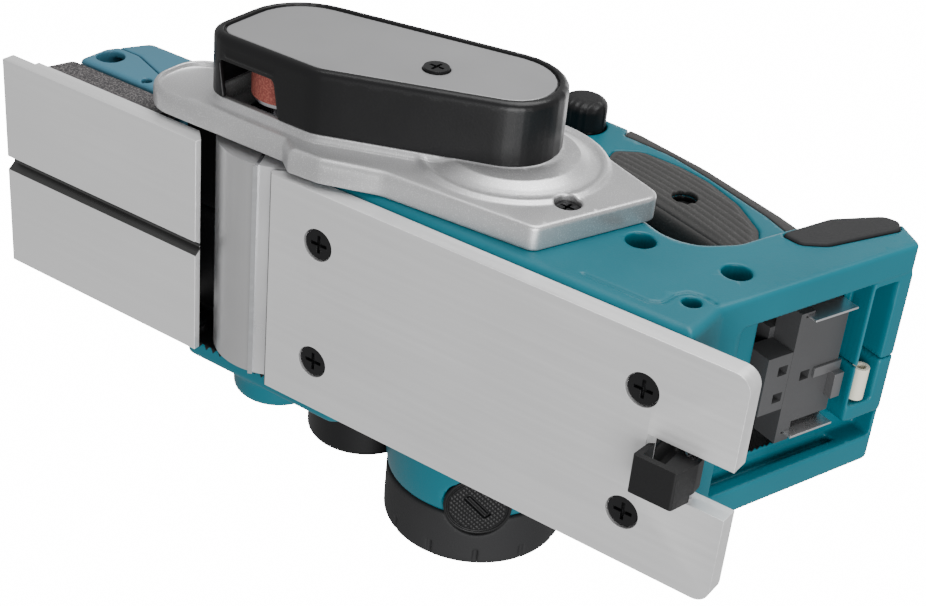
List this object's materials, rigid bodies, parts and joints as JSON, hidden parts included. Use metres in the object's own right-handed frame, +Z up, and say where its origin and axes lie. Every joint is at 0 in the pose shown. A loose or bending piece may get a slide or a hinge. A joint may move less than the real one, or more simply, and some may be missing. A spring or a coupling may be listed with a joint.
{
  "type": "electric hand planer",
  "caption": "Cordless power planer: belt-driven cutter drum between two flat shoes, D-handle with trigger and lock-off, depth knob, folding park foot, open battery bay.",
  "frame": {"origin": "centre of the rear base's sole", "axes": "+X to the belt-cover side, +Y to the battery end, +Z up away from the work"},
  "size_m": [0.1693, 0.3035, 0.1705],
  "materials": {
    "rear_base": "satin milled",
    "rear_base_screws": "blackened",
    "front_housing": "fine moulded grain",
    "front_top_cover": "fine moulded grain",
    "depth_scale_ring": "satin with light marks",
    "left_frame": "cast, shot blasted",
    "frame_screws": "blackened",
    "belt_cover": "semi-gloss moulding",
    "cover_panel": "satin grey foil",
    "cover_screw": "blackened",
    "drive_belt": "ribbed red-brown belt",
    "drum_bearings": "polished rings",
    "left_shell": "teal, fine moulded grain",
    "right_shell": "teal, fine moulded grain",
    "housing_screws": "blackened",
    "chip_outlet": "moulded",
    "motor_end_bumper": "soft over-moulding",
    "motor_end_cap": "moulded",
    "motor_bearings": "polished rings",
    "motor_yoke": "zinc",
    "motor_magnets": "sintered",
    "carbon_brushes": "graphite",
    "brush_holders": "pressed",
    "brush_covers": "fine texture",
    "grip_pads": "ribbed soft grip",
    "grip_back": "speckled soft grip",
    "rear_bumpers": "soft grip",
    "trigger_spring": "drawn wire",
    "switch_body": "moulded",
    "controller": "potted board",
    "terminal_block": "moulded",
    "blade_terminals": "plated",
    "signal_contact": "plated",
    "latch_sleeve": "ivory moulding",
    "foot_pin": "ground",
    "foot_spring": "drawn wire",
    "drum_pulley": "machined grooves",
    "cutter_drum": "machined",
    "drum_shaft": "ground",
    "planer_blades": "ground edge",
    "blade_holders": "machined",
    "blade_bolts": "blackened",
    "drum_nut": "zinc plated",
    "motor_pulley": "machined grooves",
    "motor_shaft": "ground",
    "armature": "laminations and copper windings",
    "commutator": "turned copper segments",
    "cooling_fan": "moulded",
    "motor_nut": "zinc plated",
    "front_base": "satin milled",
    "front_bracket": "dark speckled casting",
    "bracket_screws": "blackened",
    "front_base_spring": "drawn wire",
    "depth_knob": "fluted",
    "knob_screw": "turned",
    "trigger": "satin",
    "lock_off_button": "ribbed",
    "foot": "satin"
  },
  "bodies": {
    "housing": {"rear_base": "rear_base", "rear_base_screws": "rear_base_screws", "front_housing": "front_housing", "front_top_cover": "front_top_cover", "depth_scale_ring": "depth_scale_ring", "left_frame": "left_frame", "frame_screws": "frame_screws", "belt_cover": "belt_cover", "cover_panel": "cover_panel", "cover_screw": "cover_screw", "drive_belt": "drive_belt", "drum_bearings": "drum_bearings", "left_shell": "left_shell", "right_shell": "right_shell", "housing_screws": "housing_screws", "chip_outlet": "chip_outlet", "motor_end_bumper": "motor_end_bumper", "motor_end_cap": "motor_end_cap", "motor_bearings": "motor_bearings", "motor_yoke": "motor_yoke", "motor_magnets": "motor_magnets", "carbon_brushes": "carbon_brushes", "brush_holders": "brush_holders", "brush_covers": "brush_covers", "grip_pads": "grip_pads", "grip_back": "grip_back", "rear_bumpers": "rear_bumpers", "trigger_spring": "trigger_spring", "switch_body": "switch_body", "controller": "controller", "terminal_block": "terminal_block", "blade_terminals": "blade_terminals", "signal_contact": "signal_contact", "latch_sleeve": "latch_sleeve", "foot_pin": "foot_pin", "foot_spring": "foot_spring"},
    "cutter": {"drum_pulley": "drum_pulley", "cutter_drum": "cutter_drum", "drum_shaft": "drum_shaft", "planer_blades": "planer_blades", "blade_holders": "blade_holders", "blade_bolts": "blade_bolts", "drum_nut": "drum_nut"},
    "rotor": {"motor_pulley": "motor_pulley", "motor_shaft": "motor_shaft", "armature": "armature", "commutator": "commutator", "cooling_fan": "cooling_fan", "motor_nut": "motor_nut"},
    "front_shoe": {"front_base": "front_base", "front_bracket": "front_bracket", "bracket_screws": "bracket_screws", "front_base_spring": "front_base_spring"},
    "depth_control": {"depth_knob": "depth_knob", "knob_screw": "knob_screw"},
    "trigger_lever": {"trigger": "trigger"},
    "lock_off": {"lock_off_button": "lock_off_button"},
    "park_foot": {"foot": "foot"}
  },
  "joints": [
    {"name": "drum_spin", "type": "hinge", "parent": "housing", "child": "cutter", "pos_m": [0, -0.1005, 0.025], "axis": [1, 0, 0], "continuous": true},
    {"name": "motor_spin", "type": "hinge", "parent": "housing", "child": "rotor", "pos_m": [0, -0.0265, 0.0485], "axis": [1, 0, 0], "continuous": true},
    {"name": "knob_turn", "type": "hinge", "parent": "housing", "child": "depth_control", "pos_m": [0, -0.1725, 0.057], "axis": [0, 0, -1], "range_deg": [0, 360]},
    {"name": "front_shoe_slide", "type": "slide", "parent": "housing", "child": "front_shoe", "axis": [0, 0, 1], "range_m": [0, 0.002]},
    {"name": "trigger_pull", "type": "slide", "parent": "housing", "child": "trigger_lever", "axis": [0, 0.3156, 0.9489], "range_m": [0, 0.005], "stiffness_N_per_m": 800},
    {"name": "lock_off_press", "type": "slide", "parent": "housing", "child": "lock_off", "axis": [-1, 0, 0], "range_m": [0, 0.004], "stiffness_N_per_m": 600},
    {"name": "foot_fold", "type": "hinge", "parent": "housing", "child": "park_foot", "pos_m": [0, 0.0725, 0.004], "axis": [1, 0, 0], "range_deg": [0, 120], "stiffness_Nm_per_rad": 0.02}
  ],
  "couplings": [
    {"joint": "motor_spin", "follows": "drum_spin", "ratio": 1.1705},
    {"joint": "knob_turn", "follows": "front_shoe_slide", "rad_per_m": 3141.6}
  ]
}
